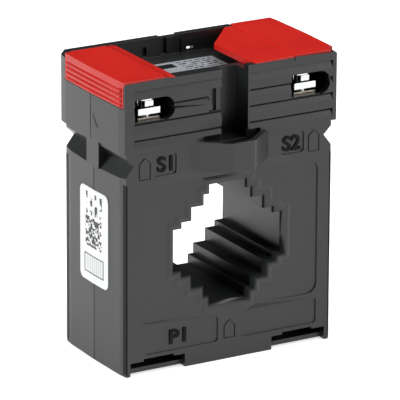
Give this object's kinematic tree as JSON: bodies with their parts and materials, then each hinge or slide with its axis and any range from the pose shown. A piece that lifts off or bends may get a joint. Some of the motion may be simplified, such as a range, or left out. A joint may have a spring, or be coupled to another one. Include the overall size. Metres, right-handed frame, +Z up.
{
  "type": "current transformer",
  "caption": "Moulded-case ring current transformer for a flat busbar, with a stepped aperture, two screw terminals under hinged covers and a hollow nose for a clamp screw.",
  "frame": {"origin": "middle of the foot face, under the seam of the two case halves", "axes": "+Z up, +Y from the front face with the nose to the back face, along the busbar, +X towards the S2 terminal"},
  "size_m": [0.0618, 0.0388, 0.077],
  "materials": {
    "case_plastic": "fine satin moulding texture",
    "cover_plastic": "satin red moulding",
    "silver_label": "printed metallised film",
    "white_sticker": "coated paper",
    "plated_steel": "bright zinc plating",
    "core_strip": "wound silicon steel strip",
    "insulating_film": "polyester film",
    "enamelled_copper": "enamelled copper wire",
    "lead_sleeve": "PVC sleeve"
  },
  "bodies": {
    "housing": {"front_case": "case_plastic", "rear_case": "case_plastic", "left_cover_strip": "cover_plastic", "right_cover_strip": "cover_plastic", "rating_label": "silver_label", "side_sticker": "white_sticker", "s1_contact": "plated_steel", "s2_contact": "plated_steel", "s1_nut": "plated_steel", "s2_nut": "plated_steel", "core": "core_strip", "core_wrap": "insulating_film", "secondary_winding": "enamelled_copper", "winding_wrap": "insulating_film", "s1_lead": "lead_sleeve", "s2_lead": "lead_sleeve"},
    "left_flap": {"left_cover": "cover_plastic"},
    "right_flap": {"right_cover": "cover_plastic"},
    "s1_clamp": {"s1_saddle": "plated_steel"},
    "s2_clamp": {"s2_saddle": "plated_steel"},
    "s1_terminal_screw": {"s1_screw": "plated_steel"},
    "s2_terminal_screw": {"s2_screw": "plated_steel"}
  },
  "joints": [
    {"name": "left_cover_hinge", "type": "hinge", "parent": "housing", "child": "left_flap", "pos_m": [-0.019, 0, 0.0763], "axis": [0, 1, 0], "range_deg": [0, 100]},
    {"name": "right_cover_hinge", "type": "hinge", "parent": "housing", "child": "right_flap", "pos_m": [0.019, 0, 0.0763], "axis": [0, -1, 0], "range_deg": [0, 100]},
    {"name": "s1_clamp_lift", "type": "slide", "parent": "housing", "child": "s1_clamp", "axis": [0, 0, 1], "range_m": [-0.0021, 0.0014]},
    {"name": "s2_clamp_lift", "type": "slide", "parent": "housing", "child": "s2_clamp", "axis": [0, 0, 1], "range_m": [-0.0021, 0.0014]},
    {"name": "s1_screw_turn", "type": "hinge", "parent": "s1_clamp", "child": "s1_terminal_screw", "pos_m": [-0.0223, -0.0115, 0.07], "axis": [0, 0, 1], "range_deg": [-1081, 721]},
    {"name": "s2_screw_turn", "type": "hinge", "parent": "s2_clamp", "child": "s2_terminal_screw", "pos_m": [0.0223, -0.0115, 0.07], "axis": [0, 0, 1], "range_deg": [-1081, 721]}
  ],
  "couplings": [
    {"joint": "s1_screw_turn", "follows": "s1_clamp_lift", "rad_per_m": 8976},
    {"joint": "s2_screw_turn", "follows": "s2_clamp_lift", "rad_per_m": 8976}
  ]
}
